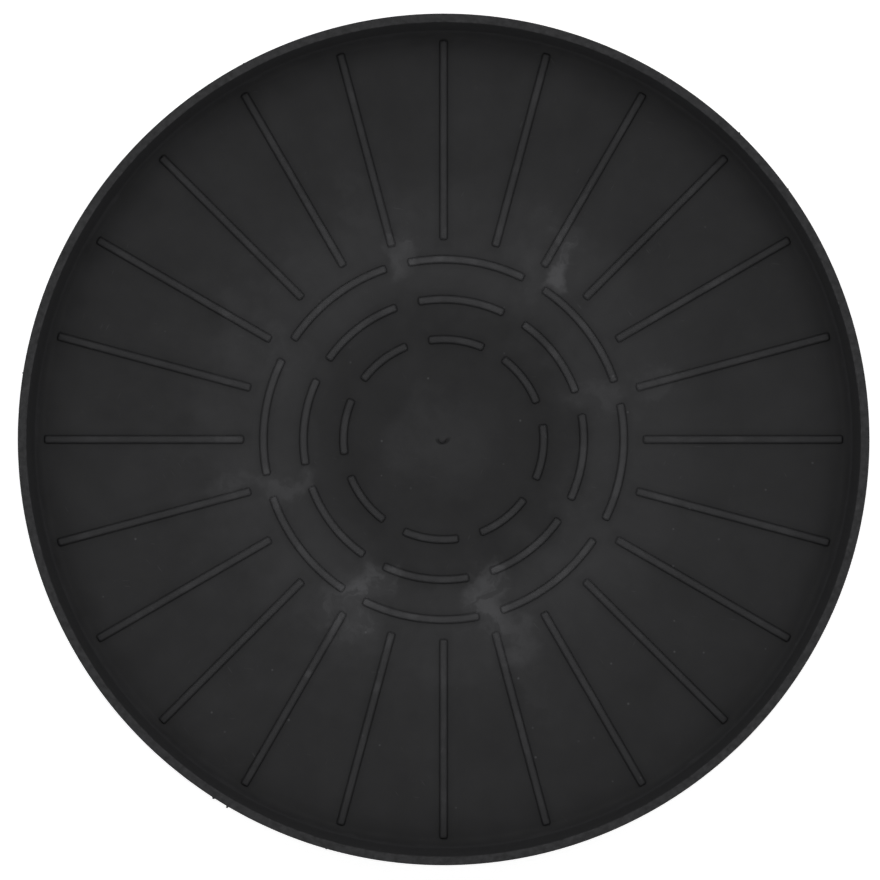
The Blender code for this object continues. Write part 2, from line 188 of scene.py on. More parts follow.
class Build:
    """Gathers shells into one mesh object."""

    def __init__(self):
        self.verts, self.faces = [], []

    def add(self, shell, matrix=None):
        verts, faces = shell
        first = len(self.verts)
        self.verts += [matrix @ v for v in verts] if matrix else verts
        self.faces += [[first + i for i in face] for face in faces]
        return self

    def object(self, name, material):
        mesh = bpy.data.meshes.new(name)
        mesh.from_pydata([v * MM for v in self.verts], [], self.faces)
        mesh.update()
        mesh.materials.append(material)
        mesh.shade_smooth()
        mesh.set_sharp_from_angle(angle=math.radians(30))
        return link(name, mesh)


def link(name, mesh):
    obj = bpy.data.objects.new(name, mesh)
    bpy.context.scene.collection.objects.link(obj)
    return obj


def turn(degrees, axis="Z"):
    return Matrix.Rotation(math.radians(degrees), 4, axis)


def move(x, y, z):
    return Matrix.Translation((x, y, z))


# Materials.


class Graph:
    """A material whose nodes are written as expressions. A value is a number or a node's output socket."""

    def __init__(self, name):
        self.material = bpy.data.materials.new(name)
        self.material.use_nodes = True
        self.tree = self.material.node_tree
        self.shader = self.tree.nodes["Principled BSDF"]

    def node(self, kind, values=(), **settings):
        made = self.tree.nodes.new("ShaderNode" + kind)
        for key, value in settings.items():
            setattr(made, key, value)
        for key, value in dict(values).items():
            self.put(made.inputs[key], value)
        return made

    def put(self, socket, value):
        if isinstance(value, bpy.types.NodeSocket):
            self.tree.links.new(value, socket)
        else:
            socket.default_value = value

    def math(self, operation, *values):
        made = self.node("Math", operation=operation)
        for socket, value in zip(made.inputs, values):
            self.put(socket, value)
        return made.outputs[0]

    def add(self, a, b):
        return self.math("ADD", a, b)

    def sub(self, a, b):
        return self.math("SUBTRACT", a, b)

    def mul(self, a, b):
        return self.math("MULTIPLY", a, b)

    def vector(self, operation, *values):
        made = self.node("VectorMath", operation=operation)
        for socket, value in zip(made.inputs, values):
            self.put(socket, value)
        return made.outputs["Value" if operation in ("DOT_PRODUCT", "LENGTH") else "Vector"]

    def split(self, vector):
        made = self.node("SeparateXYZ")
        self.put(made.inputs[0], vector)
        return made.outputs

    def voronoi(self, place, size):
        """Random points about size mm apart: how far the nearest is, in sizes, and its own number."""
        made = self.node("TexVoronoi", {"Scale": 1 / size})
        self.put(made.inputs["Vector"], place)
        return made.outputs["Distance"], self.split(made.outputs["Color"])[0]

    def millimetres(self, squash=(1, 1, 1), turned=0):
        """The place on the piece, in millimetres. It can be turned about Z, in degrees, and then squashed."""
        settings = {"Scale": [MM / s for s in squash], "Rotation": (0, 0, math.radians(turned))}
        made = self.node("Mapping", settings, vector_type="TEXTURE")
        self.put(made.inputs["Vector"], self.node("TexCoord").outputs["Object"])
        return made.outputs[0]

    def noise(self, place, size, detail=2.0, rough=0.5, offset=0.0):
        """Noise from about 0 to 1 whose blobs are about size millimetres."""
        moved = self.node("VectorMath", operation="ADD")
        self.put(moved.inputs[0], place)
        moved.inputs[1].default_value = (offset, offset * 0.7, offset * 1.3)
        made = self.node("TexNoise", {"Scale": 1 / size, "Detail": detail, "Roughness": rough})
        self.put(made.inputs["Vector"], moved.outputs[0])
        return made.outputs["Fac"]

    def ramp(self, value, stops):
        """A number that goes through (position, value) stops in straight lines."""
        made = self.node("ValToRGB")
        self.put(made.inputs["Fac"], value)
        ramp = made.color_ramp
        ramp.interpolation = "LINEAR"
        for i, (position, level) in enumerate(stops):
            element = ramp.elements[i] if i < 2 else ramp.elements.new(position)
            element.position = position
            element.color = (level, level, level, 1)
        return made.outputs["Color"]

    def step(self, value, low, high):
        """0 below low, 1 above high, and smooth between them."""
        made = self.node("MapRange", {"From Min": low, "From Max": high}, interpolation_type="SMOOTHSTEP")
        self.put(made.inputs["Value"], value)
        return made.outputs["Result"]

    def colour(self, level, tint):
        """A grey level times a tint."""
        made = self.node("VectorMath", operation="SCALE")
        made.inputs[0].default_value = tint
        self.put(made.inputs["Scale"], level)
        return made.outputs[0]

    def bump(self, height, millimetres, normal=None):
        made = self.node("Bump", {"Distance": millimetres * MM, "Strength": 1.0})
        self.put(made.inputs["Height"], height)
        if normal:
            self.put(made.inputs["Normal"], normal)
        return made.outputs[0]

    def finish(self, colour, roughness, normal=None, **uniform):
        self.put(self.shader.inputs["Base Color"], colour)
        if "Emission_Strength" in uniform:
            self.shader.inputs["Emission Color"].default_value = (1, 1, 1, 1)
        self.put(self.shader.inputs["Roughness"], roughness)
        if normal:
            self.put(self.shader.inputs["Normal"], normal)
        for key, value in uniform.items():
            self.shader.inputs[key.replace("_", " ")].default_value = value
        return self.material


# Pale clouds that the melt left where it met, past the gaps between the arcs. Each has its angle in degrees,
# where it begins and ends along the radius, half its width, and how pale it is.
FLOW_MARKS = (
    (56, 65, 79, 4.0, 1.3),
    (60, 56, 92, 9.0, 0.25),
    (103.5, 58, 77, 4.6, 0.75),
    (109.5, 74, 103, 5.0, 0.15),
    (152, 58, 74, 6.0, 0.45),
    (149, 76, 95, 6.0, 0.2),
    (197.5, 50, 64, 3.6, 0.6),
    (193, 60, 88, 4.0, 0.4),
    (244.5, 49, 76, 6.0, 1.15),
    (237, 58, 82, 8.0, 0.55),
    (286, 48, 70, 6.5, 1.15),
    (288, 66, 86, 5.5, 0.55),
    (289, 80, 108, 8.0, 0.15),
    (13, 50, 65, 5.5, 0.4),
    (14, 66, 92, 4.5, 0.35),
)


def beside_ribs(g, x, y, radius):
    """How near the floor's ribs a point is: 0 from 4.5 mm away, and 1 at a rib's side."""
    angle = g.math("ARCTAN2", y, x)

    def from_spoke(first, spacing):
        half = math.radians(spacing / 2)
        turned = g.math("WRAP", g.sub(angle, math.radians(first)), half, -half)
        return g.mul(g.math("ABSOLUTE", turned), radius)

    outside = g.math("MAXIMUM", g.sub(SPOKE_FROM, radius), g.sub(radius, SPOKE_TO))
    spokes = g.math("MAXIMUM", from_spoke(0, 360 / SPOKES), outside)
    nearest = [g.math("ABSOLUTE", g.sub(radius, ring)) for ring in RINGS]
    nearest = g.math("MINIMUM", g.math("MINIMUM", nearest[0], nearest[1]), nearest[2])
    arcs = g.math("MAXIMUM", nearest, g.sub((ARC_GAP + RIB_WIDTH) / 2, from_spoke(GAP_ANGLE, 360 / ARCS)))
    return g.step(g.math("MINIMUM", spokes, arcs), 4.5, RIB_WIDTH / 2)


def flow_marks(g, warped):
    """How pale the melt left the floor: 0 almost everywhere, and up to about 1.5."""
    total = 0.0
    for angle, start, end, half, strength in FLOW_MARKS:
        a = math.radians(angle)
        along = g.vector("DOT_PRODUCT", warped, (math.cos(a), math.sin(a), 0))
        across = g.vector("DOT_PRODUCT", warped, (-math.sin(a), math.cos(a), 0))
        middle, reach = (start + end) / 2, (end - start) / 2
        inside = g.step(g.math("ABSOLUTE", g.sub(along, middle)), reach * 1.3, reach * 0.5)
        narrow = g.step(g.math("ABSOLUTE", across), half * 1.4, half * 0.3)
        total = g.add(g.mul(g.mul(inside, narrow), strength), total)
    wisps = g.step(g.noise(warped, 9, 3, 0.55, 11), 0.4, 0.56)
    return g.mul(total, g.add(0.3, g.mul(wisps, 0.7)))


# How pale the floor is along its radius, in millimetres, where the melt flowed out in rings.
# The stops past 137 mm, which fall towards the wall, are painted shade beside the wall.
FLOOR_RINGS = (
    *((0, 1.27), (10, 1.2), (22, 0.86), (38, 0.82), (45, 0.92), (53, 1.2), (60, 1.26), (70, 1.22)),
    *((81, 1.12), (91, 0.93), (100, 0.87), (113, 0.82), (131, 0.78), (137, 0.78), (143, 0.74), (150, 0.62)),
)
PALEST_RING = 2
BLACK_PLASTIC = 0.0255


def floor_clouds(g, place, warped, radius):
    """The rings, rays and clouds of the floor's colour, with painted light that pales it towards -X and -Y
    and painted shade beside the wall: about 1 on average.
    """
    x, y, z = g.split(place)
    flow_radius = g.vector("LENGTH", g.vector("MULTIPLY", warped, (1, 1, 0)))
    stops = [(r / RADIUS, level / PALEST_RING) for r, level in FLOOR_RINGS]
    rings = g.mul(g.ramp(g.mul(flow_radius, 1 / RADIUS), stops), PALEST_RING)
    outwards = g.vector("NORMALIZE", g.vector("MULTIPLY", place, (1, 1, 0)))
    stretched = g.vector("MULTIPLY", place, (0.25, 0.25, 0))
    rays = g.noise(g.vector("ADD", g.vector("MULTIPLY", outwards, (60, 60, 0)), stretched), 11, 4, 0.6, 23)
    clouds = g.add(0.5, g.mul(g.noise(place, 26, 5, 0.62), 0.58))
    clouds = g.add(clouds, g.mul(g.noise(warped, 7, 4, 0.65, 41), 0.16))
    clouds = g.add(clouds, g.mul(g.mul(rays, g.step(radius, 45, 75)), 0.26))
    # Painted light: the floor is paler towards -X and -Y, and darker towards +X and +Y.
    clouds = g.sub(clouds, g.mul(g.add(x, y), 0.00022))
    return g.mul(rings, clouds)


def rib_wear_and_highlight(g, place, radius):
    """How much paler than the floor a rib's top is: worn patches, mostly on the arcs, streaks of painted
    highlight, and a little painted shade on every top.
    """
    # Worn patches, less a little painted shade on every rib top.
    worn_and_shaded = g.sub(g.mul(g.step(g.noise(place, 10, 3, 0.6, 53), 0.45, 0.75), 0.4), 0.14)
    worn_and_shaded = g.add(worn_and_shaded, g.mul(g.step(radius, 72, 60), 0.2))
    # Painted highlight: pale streaks along the ribs' tops.
    return g.add(worn_and_shaded, g.mul(g.step(g.noise(place, 13, 2, 0.5, 59), 0.62, 0.74), 0.45))


def painted_gate_shade(g, place, centred):
    """1 on a dark bow of painted shade on the floor, on the -Y side of the broken-off stub, and 0 elsewhere.
    """
    from_gate = g.vector("SUBTRACT", g.vector("ADD", place, g.vector("MULTIPLY", centred, (3, 3, 0))), GATE)
    from_bow = g.math("ABSOLUTE", g.sub(g.vector("LENGTH", g.vector("MULTIPLY", from_gate, (1, 1, 0))), 2.1))
    return g.mul(g.step(from_bow, 0.95, 0.35), g.step(g.split(from_gate)[1], 0.4, -1.4))


def marks_of_use(g, place, on_floor):
    """Pale specks of dust all over, and hairline scratches in patches of the floor."""
    distance, chance = g.voronoi(place, 5.5)
    chance = g.sub(chance, g.mul(g.split(place)[1], 0.0012))
    specks = g.mul(g.step(distance, 0.1, 0.045), g.step(chance, 0.8, 1.02))
    marks = g.mul(specks, 1.3)
    for turned, offset in ((-7, 83), (64, 89), (128, 97)):
        along = g.millimetres((0.13, 1, 1), turned)
        scratches = g.step(g.noise(along, 0.8, 1, 0.5, offset), 0.72, 0.8)
        patches = g.mul(on_floor, g.step(g.noise(place, 16, 2, 0.5, offset), 0.5, 0.64))
        marks = g.add(marks, g.mul(g.mul(scratches, patches), 0.5))
    return marks


def tray_plastic():
    g = Graph("tray_plastic")
    place = g.millimetres()
    x, y, z = g.split(place)
    radius = g.vector("LENGTH", g.vector("MULTIPLY", place, (1, 1, 0)))

    # Where on the tray a point is. Each of these is 1 there and 0 elsewhere.
    above = g.step(z, FLOOR_UNDER + 1, FLOOR_UNDER + 2)
    middle_of_wall = g.sub(RADIUS - LIP / 2, g.mul(g.sub(RIM_TOP, z), DRAFT))
    within = g.step(g.sub(middle_of_wall, radius), -0.2, 0.2)
    on_floor = g.mul(g.mul(above, within), g.step(z, FLOOR_TOP + 3.2, FLOOR_TOP + 1.6))
    inside = g.mul(within, g.step(z, RIM_TOP, RIM_TOP - 0.8))
    on_wall = g.mul(inside, g.step(z, FLOOR_TOP + 0.1, FLOOR_TOP + 2.7))
    on_rim = g.step(z, RIM_TOP - 0.7, RIM_TOP - 0.2)
    rib_top = FLOOR_TOP + RIB_HEIGHT
    on_rib = g.mul(on_floor, g.step(z, rib_top - 0.45, rib_top - 0.1))
    above_foot = g.step(z, FLOOR_TOP + 0.01, FLOOR_TOP + 0.1)
    below_top = g.step(z, FLOOR_TOP + 0.9, FLOOR_TOP + 0.4)
    rib_side = g.mul(g.mul(above_foot, below_top), g.step(radius, 141, 140))
    low = g.step(z, FLOOR_TOP + 0.5, FLOOR_TOP + 0.1)

    warp = g.node("TexNoise", {"Scale": 1 / 13, "Detail": 4.0, "Roughness": 0.55})
    g.put(warp.inputs["Vector"], place)
    centred = g.vector("SUBTRACT", warp.outputs["Color"], (0.5, 0.5, 0.5))
    warped = g.vector("ADD", place, g.vector("MULTIPLY", centred, (26, 26, 0)))

    # The floor and its ribs.
    shade = g.add(floor_clouds(g, place, warped, radius), flow_marks(g, warped))
    shade = g.mul(shade, g.add(1, g.mul(on_rib, rib_wear_and_highlight(g, place, radius))))
    # Painted shade and light on the ribs' sides, in patches: their dark outlines are darker in some places
    # and paler in others.
    painted_side_shade = g.add(-0.95, g.mul(g.noise(place, 6, 3, 0.6, 67), 1.5))
    shade = g.mul(shade, g.sub(1, g.mul(rib_side, painted_side_shade)))
    # Painted shade: the floor is darker beside the ribs' feet.
    shade = g.mul(shade, g.sub(1, g.mul(g.mul(beside_ribs(g, x, y, radius), low), 0.12)))

    # The whole tray: the wall is painted paler than the floor, painted light for the light that its steep
    # face misses, and the rim is scuffed.
    level = g.add(1.1, g.mul(on_floor, g.sub(shade, 1.1)))
    # Painted shade: a dark bow on the floor beside the broken-off stub.
    level = g.mul(level, g.sub(1, g.mul(g.mul(on_floor, painted_gate_shade(g, place, centred)), 0.6)))
    # Painted light: the wall's colour is paler, in place of the light that it misses.
    level = g.add(level, g.mul(on_wall, 0.7))
    drag = g.sub(g.noise(g.millimetres((1, 1, 0.12)), 1.4, 3, 0.6, 71), 0.5)
    level = g.mul(level, g.add(1, g.mul(g.mul(drag, g.sub(1, on_floor)), 0.35)))
    scuffs = g.sub(g.noise(place, 1.8, 4, 0.7, 61), 0.44)
    level = g.add(level, g.mul(on_rim, g.add(-0.08, g.mul(scuffs, 2.4))))
    level = g.add(level, marks_of_use(g, place, on_floor))
    grain = g.add(0.95, g.mul(g.noise(place, 0.5, 2), 0.1))
    level = g.mul(level, g.mul(grain, BLACK_PLASTIC))

    roughness = g.add(0.56, g.mul(g.noise(place, 12, 4, 0.6, 7), 0.18))
    normal = g.bump(g.noise(place, 0.35, 2, 0.6), 0.012)
    normal = g.bump(g.noise(place, 30, 3, 0.5, 31), 0.15, normal=normal)
    return g.finish(g.colour(level, (1.0, 1.0, 1.045)), roughness, normal, Specular_IOR_Level=0.15)


def caster_plastic():
    g = Graph("caster_plastic")
    place = g.millimetres()
    level = g.mul(g.add(0.9, g.mul(g.noise(place, 8, 3), 0.2)), 0.015)
    roughness = g.add(0.34, g.mul(g.noise(place, 3, 4, 0.6, 5), 0.16))
    normal = g.bump(g.noise(place, 0.3, 2, 0.6), 0.01)
    return g.finish(g.colour(level, (1.0, 1.0, 1.03)), roughness, normal)


def wheel_plastic():
    """Black nylon with a scuffed tread and fine turned rings. The wheel's own Z is its axle."""
    g = Graph("wheel_plastic")
    place = g.millimetres()
    radius = g.vector("LENGTH", g.vector("MULTIPLY", place, (1, 1, 0)))
    tread = g.step(radius, WHEEL_RADIUS - 0.5, WHEEL_RADIUS - 0.15)
    scuffs = g.step(g.noise(g.millimetres((1, 1, 0.5)), 1.6, 4, 0.65, 13), 0.4, 0.7)
    dust = g.step(g.noise(place, 5, 4, 0.65, 29), 0.5, 0.75)
    level = g.add(0.019, g.mul(g.noise(place, 7, 3, 0.5, 3), 0.006))
    level = g.add(level, g.mul(g.mul(tread, g.add(0.25, scuffs)), 0.022))
    level = g.add(level, g.mul(dust, 0.006))
    rings = g.noise(g.colour(radius, (1, 1, 1)), 0.7, 2, 0.5, 19)
    roughness = g.add(g.add(0.4, g.mul(rings, 0.12)), g.mul(tread, 0.22))
    normal = g.bump(g.noise(place, 0.3, 2, 0.6), 0.012)
    return g.finish(g.colour(level, (1.0, 1.0, 1.02)), roughness, normal)


def plated_steel(name, level):
    g = Graph(name)
    level = g.mul(g.add(0.9, g.mul(g.noise(g.millimetres(), 1.5, 3), 0.2)), level)
    roughness = g.add(0.24, g.mul(g.noise(g.millimetres((1, 1, 9)), 2.5, 3, 0.6, 3), 0.16))
    normal = g.bump(g.noise(g.millimetres((0.4, 0.4, 6)), 0.6, 2), 0.004)
    return g.finish(g.colour(level, (1.0, 1.0, 0.99)), roughness, normal, Metallic=1.0)


# The tray.


def wall(height, top_radius):
    return top_radius - (RIM_TOP - height) * DRAFT


def tray_section():
    inner = RADIUS - LIP
    fillet_top = FLOOR_TOP + FLOOR_FILLET
    foot = wall(fillet_top, inner)
    skirt = wall(SKIRT_BOTTOM, RADIUS)
    floor = [(r, FLOOR_TOP) for r in (0, 8, 20, 40, 60, 80, 100, 120, 135)]
    return [
        *floor,
        *arc((foot - FLOOR_FILLET, fillet_top), FLOOR_FILLET, -90, 0, 12),
        (wall(RIM_TOP - 6, inner), RIM_TOP - 6),
        *arc((inner + 0.45, RIM_TOP - 0.45), 0.45, 180, 90, 4),
        *arc((RADIUS - 0.5, RIM_TOP - 0.5), 0.5, 90, 0, 5),
        (wall(RIM_TOP - 6, RADIUS), RIM_TOP - 6),
        (wall(SKIRT_BOTTOM + 6, RADIUS), SKIRT_BOTTOM + 6),
        *arc((skirt - 0.5, SKIRT_BOTTOM + 0.5), 0.5, 0, -90, 4),
        *arc((skirt - LIP + 0.5, SKIRT_BOTTOM + 0.5), 0.5, 270, 180, 4),
        *arc((skirt - LIP - 1, FLOOR_UNDER - 1), 1, 0, 90, 5),
        *[(r, FLOOR_UNDER) for r in (120, 90, 60, 30, 10, 0)],
    ]


def add_floor_ribs(tray):
    up = move(0, 0, FLOOR_TOP)

    def spoke(half):
        return bar(SPOKE_FROM - half + 1.2, SPOKE_TO + half - 1.8, half, half * 0.6)

    for i in range(SPOKES):
        tray.add(stack(rib_sections(spoke, RIB_WIDTH, RIB_HEIGHT)), up @ turn(360 / SPOKES * i))
    for radius in RINGS:
        length = 2 * math.pi * radius / ARCS - ARC_GAP

        def arc_rib(half):
            return bent_bar(radius, length + 2 * half - 2.4, half, half * 0.6)[::-1]

        for i in range(ARCS):
            angle = GAP_ANGLE + 360 / ARCS * (i + 0.5)
            tray.add(stack(rib_sections(arc_rib, RIB_WIDTH, RIB_HEIGHT)), up @ turn(angle))


def add_under_ribs(tray):
    down = move(0, 0, FLOOR_UNDER) @ turn(180, "X")
    hub, outer_ring = 20, 75
    skirt = wall(SKIRT_BOTTOM, RADIUS) - LIP / 2

    def rib(half):
        return bar(hub, skirt, half, 0.2)

    sections = rib_sections(rib, 2, 3.4, foot=0.4, draft=0.15, shoulder=0.3)
    for i in range(2 * CASTERS):
        tray.add(stack(sections), down @ turn(90 + 180 / CASTERS * i))
    for radius in (hub, outer_ring):
        foot = FLOOR_UNDER + 0.1
        tip = SKIRT_BOTTOM + 0.6
        profile = [
            (radius + 1.3, foot),
            (radius + 1.05, foot - 0.35),
            *arc((radius + 0.65, tip + 0.25), 0.25, 0, -90, 3),
            *arc((radius - 0.65, tip + 0.25), 0.25, 270, 180, 3),
            (radius - 1.05, foot - 0.35),
            (radius - 1.3, foot),
        ]
        tray.add(lathe(profile, 144, closed=True))


def add_ejector_marks(tray):
    """The round marks that the mould's ejector pins left under the floor."""
    mark = lathe([(0, 0.12), (2.9, 0.12), (3.0, 0.05), (3.2, 0.05), (3.3, -0.1), (0, -0.1)], 32)
    for ring, count, first, beside in ((48, 5, 54, 0), (104, 10, 72, 5)):
        for i in range(count):
            place = turn(first + 360 / count * i) @ move(ring, beside, FLOOR_UNDER)
            tray.add(mark, place @ turn(180, "X"))


def add_socket(tray, matrix):
    """A boss with a bore for the stem, and a gusset on each side of it."""
    top = FLOOR_UNDER + 0.2
    profile = [
        (10, top),
        *arc((10, FLOOR_UNDER - 1), 1, 90, 180, 4),
        *arc((8.5, SOCKET_FACE + 0.5), 0.5, 0, -90, 4),
        *arc((SOCKET_BORE + 0.5, SOCKET_FACE), 0.01, 270, 200, 1),
        (SOCKET_BORE, SOCKET_FACE + 0.5),
        (SOCKET_BORE, top),
    ]
    tray.add(lathe(profile, 64, closed=True), matrix)
    for side in (90, -90):
        rows = [(8, 17.6, 0.0), (8, 16.6, 1.0), (8, 9.4, 8.6), (8, 9.0, 9.0)]
        outlines = []
        for start, end, depth in rows:
            half = 1.0 - 0.02 * depth
            outlines.append(([(start, -half), (end, -half), (end, half), (start, half)], depth - 0.1))
        flip = matrix @ turn(side) @ move(0, 0, FLOOR_UNDER) @ turn(180, "X")
        tray.add(stack(outlines), flip)


def add_gate_mark(tray):
    """The broken-off stub in the middle of the floor, where the melt came in."""
    upper_edge = [(1.9, 0.2), (1.2, -0.6), (0.4, -0.8), (-0.7, -0.6)]
    lower_edge = [(-1.8, 0.3), (-1.3, -1.1), (-0.2, -1.8), (1.0, -1.3)]
    middle = Vector((0, -1.1))
    outlines = []
    for scale, height in ((1.0, -0.1), (0.9, 0.2), (0.6, 0.42)):
        ragged = [tuple(middle + scale * (Vector(p) - middle)) for p in upper_edge + lower_edge]
        outlines.append((ragged, height))
    tray.add(stack(outlines), move(GATE[0], GATE[1] - 0.6, FLOOR_TOP))


def add_flash(tray):
    """Small bits of flash that the mould's parting line left on the rim's outer edge."""
    bits = [(36, 1.6, 0.2), (46, 2.2, 0.25), (118, 1.2, 0.15), (171, 1.4, 0.2)]
    bits += [(237.3, 2.0, 0.5), (239.5, 1.5, 0.7), (254, 1.1, 0.2)]
    root = RADIUS - 0.6
    for angle, length, proud in bits:
        tip = [(RADIUS + proud, -0.15), (RADIUS + proud * 0.8, 0.25)]
        outline = [(root, -length / 2), *tip, (root, length / 2)]
        tray.add(stack([(outline, RIM_TOP - 0.9), (outline, RIM_TOP - 0.35)]), turn(angle))


def make_tray(material):
    tray = Build().add(lathe(tray_section(), 288))
    add_floor_ribs(tray)
    add_gate_mark(tray)
    add_flash(tray)
    add_under_ribs(tray)
    add_ejector_marks(tray)
    for i in range(CASTERS):
        add_socket(tray, socket(i))
    piece = tray.object("tray_moulding", material)
    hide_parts("tray")
    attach(piece, "tray")


# Casters.


def socket(i):
    """Caster i's swivel axis, with X pointing away from the middle of the tray."""
    return turn(90 + 360 / CASTERS * i) @ move(CASTER_CIRCLE, 0, 0)


def axle_place(i):
    """The middle of caster i's axle at rest, with Z along the axle."""
    return socket(i) @ turn(180) @ move(-TRAIL, 0, WHEEL_RADIUS) @ turn(-90, "X")


def stem_shell():
    """The stem about the swivel axis, with a collar, and a groove for each of the two split rings."""
    top = FLOOR_UNDER - 0.2
    collar_top = SOCKET_FACE - 0.3
    collar_low = collar_top - 0.9
    profile = [
        (0, top),
        (2.4, top),
        (3.0, top - 0.3),
        (3.4, top - 0.9),
        (3.4, top - 2.6),
        (2.7, top - 2.6),
        (2.7, top - 7.0),
        (3.4, top - 7.0),
        (3.4, collar_top + 0.3),
        (3.6, collar_top),
        (5.8, collar_top),
        (6.0, collar_top - 0.2),
        (6.0, collar_low + 0.2),
        (5.8, collar_low),
        (3.0, collar_low),
        (3.0, 25.1),
        (2.3, 25.1),
        (2.3, 23.7),
        (3.0, 23.7),
        (3.0, PIVOT_BOTTOM + 0.8),
        (2.2, PIVOT_BOTTOM),
        (0, PIVOT_BOTTOM),
    ]
    return lathe(profile, 48)


def axle_shell():
    """The axle about Z, with a snap groove inside each wheel."""
    profile = [(0, 13.1), (1.8, 13.1), (2, 12.9), (2, 11.7), (1.5, 11.7), (1.5, 10.1), (2, 10.1)]
    return lathe(profile + [(r, -h) for r, h in reversed(profile)], 40)


def wheel_shell():
    """The wheel about its axle: Z points outwards, and the cup is open towards the hood's web."""
    pin_marks, spokes = 3, 6
    inner, outer, tread = WHEEL_INNER, WHEEL_OUTER, WHEEL_RADIUS
    profile = [
        (0, outer - 1.0),
        (2.2, outer - 1.0),
        (2.6, outer - 0.7),
        *arc((3.6, outer - 0.4), 0.4, 180, 90, 3),
        *arc((4.6, outer - 0.4), 0.4, 90, 0, 3),
        (5.3, outer - 0.9),
        (6.5, outer - 1.1),
        (11.6, outer - 0.8),
        (12.2, outer - 0.4),
        *arc((12.9, outer - 0.3), 0.3, 110, 80, 2),
        *arc((tread - 1.7, outer - 1.7), 1.7, 80, 0, 8),
        (tread, inner + 4.66),
        (tread - 0.12, inner + 4.5),
        (tread, inner + 4.34),
        (tread, inner + 0.5),
        *arc((tread - 0.4, inner + 0.4), 0.4, 0, -90, 3),
        *arc((tread - 2.2, inner + 0.2), 0.2, 270, 180, 2),
        (tread - 2.5, outer - 3.4),
        *arc((tread - 3.5, outer - 3.4), 0.9, 0, 90, 4),
        *arc((5.3, outer - 3.4), 0.9, 90, 180, 4),
        *arc((4.1, inner + 0.25), 0.25, 0, -90, 2),
        (2.5, inner),
        (2.25, inner + 0.3),
        (2.25, outer - 1.9),
        (0, outer - 1.9),
    ]
    wheel = Build().add(lathe(profile, 96))
    pin_mark = lathe([(0, outer - 0.9), (0.9, outer - 0.9), (1.0, outer - 1.12), (0, outer - 1.12)], 20)
    for i in range(pin_marks):
        wheel.add(pin_mark, turn(360 / pin_marks * i + 30) @ move(8.6, 0, 0))
    outline = [(4.0, -0.5), (13.9, -0.5), (13.9, 0.5), (4.0, 0.5)]
    spoke = stack([(outline, inner + 1.6), (outline, outer - 2.0)])
    for i in range(spokes):
        wheel.add(spoke, turn(360 / spokes * i))
    return wheel


def cutter(shell, name):
    obj = Build().add(shell).object(name, None)
    obj.hide_render = True
    return obj


